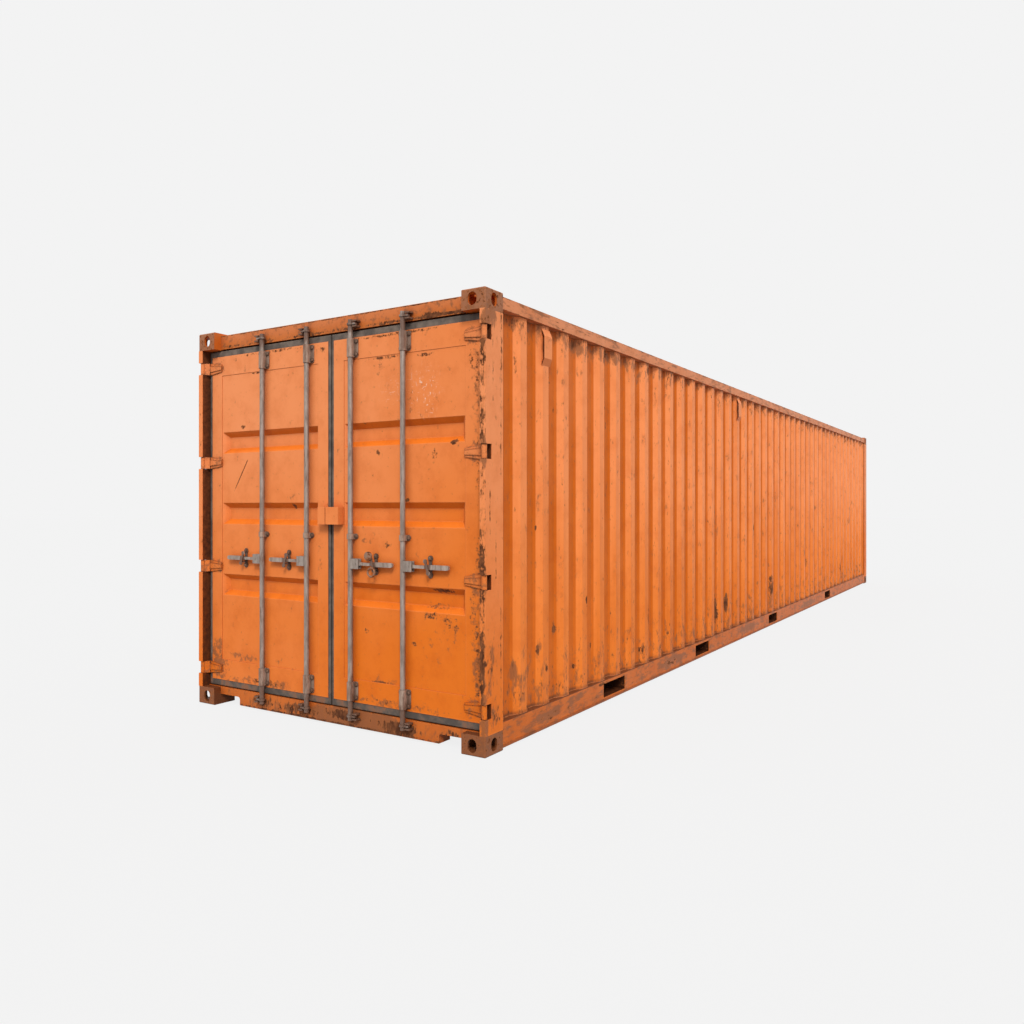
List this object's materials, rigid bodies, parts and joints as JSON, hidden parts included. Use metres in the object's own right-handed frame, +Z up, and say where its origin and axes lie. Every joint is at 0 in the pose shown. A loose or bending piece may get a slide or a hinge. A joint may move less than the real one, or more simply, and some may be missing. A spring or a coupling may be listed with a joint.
{
  "type": "shipping container",
  "caption": "Weathered steel shipping container with corrugated walls, swinging end doors, turning lock bars, lifting handles, fork pockets and hollow corner fittings.",
  "frame": {"origin": "centre of the footprint at the level of the bottom corner fittings", "axes": "+X along the length away from the doors, +Z up, so the doors face -X"},
  "size_m": [12.192, 2.438, 2.591],
  "materials": {
    "orange_paint": "satin, weathered",
    "rusty_castings": "rust over worn paint",
    "galvanised_steel": "dull galvanised",
    "gasket_rubber": "matt, dusty",
    "floor_plywood": "worn",
    "rusty_iron": "rusty"
  },
  "bodies": {
    "box": {"front_posts": "orange_paint", "door_post_left": "orange_paint", "door_post_right": "orange_paint", "door_header": "orange_paint", "door_sill": "orange_paint", "front_header": "orange_paint", "front_sill": "orange_paint", "front_wall": "orange_paint", "top_side_rails": "orange_paint", "bottom_side_rail_left": "orange_paint", "bottom_side_rail_right": "orange_paint", "side_wall_left": "orange_paint", "side_wall_right": "orange_paint", "roof": "orange_paint", "ventilators": "orange_paint", "cross_members": "orange_paint", "fork_pocket_plates": "orange_paint", "corner_fittings_bottom": "rusty_castings", "corner_fittings_top": "rusty_castings", "cam_keepers": "galvanised_steel", "floor": "floor_plywood"},
    "left_door": {"left_door_frame": "orange_paint", "left_door_panel": "orange_paint", "left_door_gasket": "gasket_rubber", "left_door_hinges": "orange_paint", "left_door_bar_brackets": "galvanised_steel", "left_door_handle_catches": "galvanised_steel", "left_lock_box": "orange_paint"},
    "right_door": {"right_door_frame": "orange_paint", "right_door_panel": "orange_paint", "right_door_gasket": "gasket_rubber", "right_door_hinges": "orange_paint", "right_door_bar_brackets": "galvanised_steel", "right_door_handle_catches": "galvanised_steel", "right_lock_box": "orange_paint"},
    "bar_1": {"lock_bar_1": "galvanised_steel"},
    "handle_1": {"lock_handle_1": "galvanised_steel"},
    "bar_2": {"lock_bar_2": "galvanised_steel"},
    "handle_2": {"lock_handle_2": "galvanised_steel"},
    "bar_3": {"lock_bar_3": "galvanised_steel"},
    "handle_3": {"lock_handle_3": "galvanised_steel", "padlock": "rusty_iron"},
    "bar_4": {"lock_bar_4": "galvanised_steel"},
    "handle_4": {"lock_handle_4": "galvanised_steel"}
  },
  "joints": [
    {"name": "left_door_swing", "type": "hinge", "parent": "box", "child": "left_door", "pos_m": [-6.076, 1.199, 1.298], "axis": [0, 0, -1], "range_deg": [0, 265]},
    {"name": "right_door_swing", "type": "hinge", "parent": "box", "child": "right_door", "pos_m": [-6.076, -1.199, 1.298], "axis": [0, 0, 1], "range_deg": [0, 265]},
    {"name": "bar_1_turn", "type": "hinge", "parent": "left_door", "child": "bar_1", "pos_m": [-6.062, 0.607, 1.2975], "axis": [0, 0, -1], "range_deg": [-95, 0]},
    {"name": "bar_2_turn", "type": "hinge", "parent": "left_door", "child": "bar_2", "pos_m": [-6.062, 0.19, 1.2975], "axis": [0, 0, -1], "range_deg": [-95, 0]},
    {"name": "bar_3_turn", "type": "hinge", "parent": "right_door", "child": "bar_3", "pos_m": [-6.062, -0.19, 1.2975], "axis": [0, 0, 1], "range_deg": [-95, 0]},
    {"name": "bar_4_turn", "type": "hinge", "parent": "right_door", "child": "bar_4", "pos_m": [-6.062, -0.607, 1.2975], "axis": [0, 0, 1], "range_deg": [-95, 0]},
    {"name": "handle_1_lift", "type": "hinge", "parent": "bar_1", "child": "handle_1", "pos_m": [-6.062, 0.659, 1.03], "axis": [-1, 0, 0], "range_deg": [-25, 0]},
    {"name": "handle_2_lift", "type": "hinge", "parent": "bar_2", "child": "handle_2", "pos_m": [-6.062, 0.242, 1.03], "axis": [-1, 0, 0], "range_deg": [-25, 0]},
    {"name": "handle_3_lift", "type": "hinge", "parent": "bar_3", "child": "handle_3", "pos_m": [-6.062, -0.242, 1.03], "axis": [1, 0, 0], "range_deg": [-25, 0]},
    {"name": "handle_4_lift", "type": "hinge", "parent": "bar_4", "child": "handle_4", "pos_m": [-6.062, -0.659, 1.03], "axis": [1, 0, 0], "range_deg": [-25, 0]}
  ]
}
